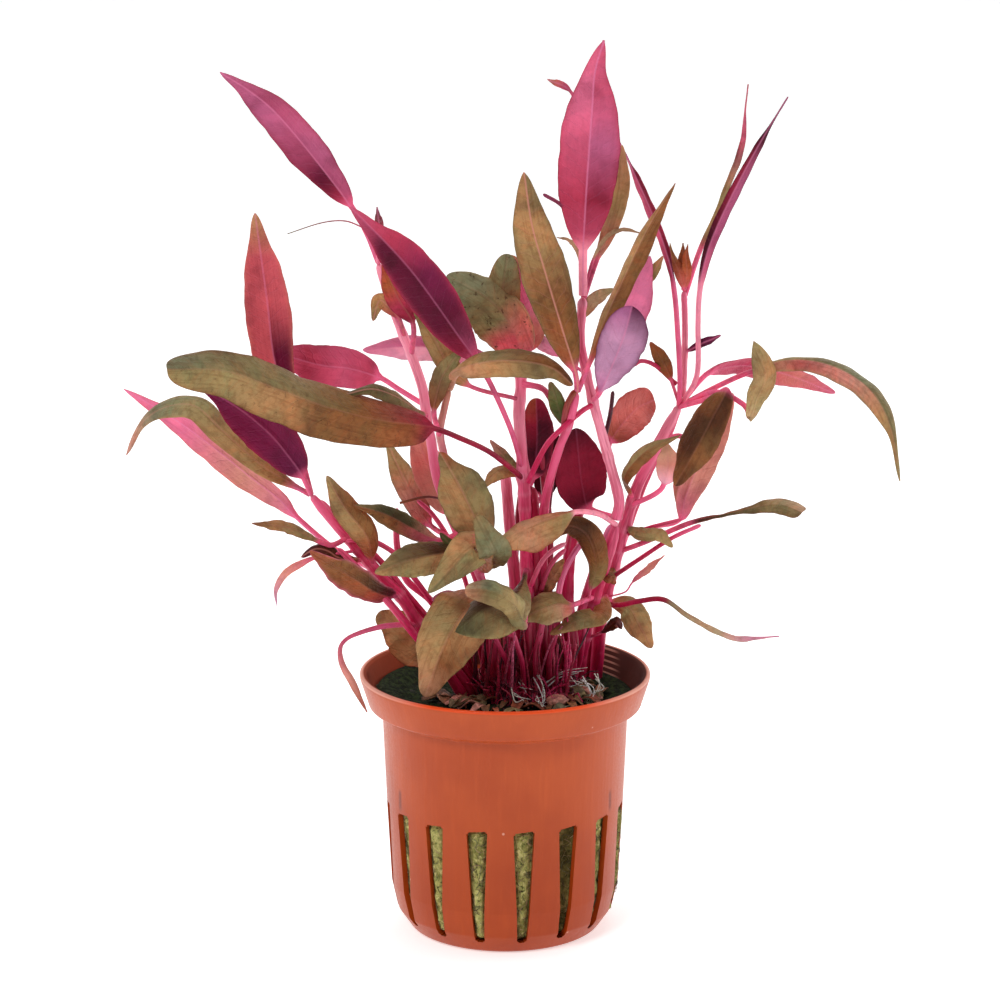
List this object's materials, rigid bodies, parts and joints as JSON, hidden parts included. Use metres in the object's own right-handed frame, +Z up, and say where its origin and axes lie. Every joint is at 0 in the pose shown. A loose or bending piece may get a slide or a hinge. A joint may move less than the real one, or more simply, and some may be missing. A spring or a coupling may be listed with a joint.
{
  "type": "potted aquarium plant",
  "caption": "red-stemmed water plant with long two-coloured leaves, rooted in mineral wool in a slotted terracotta-coloured net pot",
  "frame": {"origin": "centre of the pot's foot, on the surface that the pot stands on", "axes": "+Z up along the pot's axis, the pictured side faces -Y, +X to its right"},
  "size_m": [0.1452, 0.0662, 0.1707],
  "materials": {
    "pot_plastic": "satin",
    "rock_wool": "matte",
    "pebble": "matte",
    "stem_skin": "satin",
    "leaf_olive": "satin",
    "leaf_tan": "satin",
    "leaf_rose": "satin",
    "leaf_mauve": "satin",
    "leaf_purple": "satin",
    "leaf_crimson": "satin",
    "leaf_orange": "satin"
  },
  "bodies": {
    "root": {"net_pot": "pot_plastic", "rock_wool": "rock_wool", "pebble_front": "pebble", "pebble_right": "pebble", "stem_left_tall": "stem_skin", "stem_left_short": "stem_skin", "stem_left_low": "stem_skin", "stem_left_back": "stem_skin", "stem_centre": "stem_skin", "stem_centre_right": "stem_skin", "stem_main": "stem_skin", "stem_main_upper": "stem_skin", "stem_right": "stem_skin", "stem_right_tip": "stem_skin", "leaf_left_tall_1": "leaf_purple", "leaf_left_tall_2": "leaf_rose", "leaf_left_low_1": "leaf_rose", "leaf_left_low_2": "leaf_purple", "leaf_left_low_3": "leaf_olive", "leaf_left_low_4": "leaf_rose", "leaf_centre_1": "leaf_purple", "leaf_centre_2": "leaf_olive", "leaf_centre_3": "leaf_rose", "leaf_centre_4": "leaf_olive", "leaf_centre_5": "leaf_rose", "leaf_left_short_1": "leaf_tan", "leaf_main_1": "leaf_rose", "leaf_main_2": "leaf_tan", "leaf_main_3": "leaf_tan", "leaf_main_4": "leaf_mauve", "leaf_right_1": "leaf_crimson", "leaf_right_2": "leaf_mauve", "leaf_right_3": "leaf_rose", "bud_right": "leaf_orange", "leaf_right_4": "leaf_rose", "leaf_right_5": "leaf_tan", "leaf_right_6": "leaf_olive", "leaf_right_7": "leaf_olive", "leaf_right_8": "leaf_rose", "leaf_main_7": "leaf_rose", "leaf_main_8": "leaf_crimson", "leaf_centre_6": "leaf_crimson", "leaf_low_1": "leaf_olive", "leaf_low_2": "leaf_tan", "leaf_low_3": "leaf_tan", "leaf_low_4": "leaf_olive", "leaf_low_5": "leaf_olive", "leaf_left_back_1": "leaf_tan", "leaf_left_low_5": "leaf_tan", "leaf_left_low_6": "leaf_crimson", "leaf_left_low_7": "leaf_tan", "leaf_low_6": "leaf_tan", "leaf_low_7": "leaf_tan", "leaf_low_8": "leaf_olive", "leaf_low_9": "leaf_olive", "leaf_right_low_1": "leaf_tan", "leaf_right_low_2": "leaf_tan", "leaf_right_low_3": "leaf_olive", "leaf_right_low_4": "leaf_olive", "leaf_left_low_8": "leaf_crimson"}
  },
  "joints": []
}
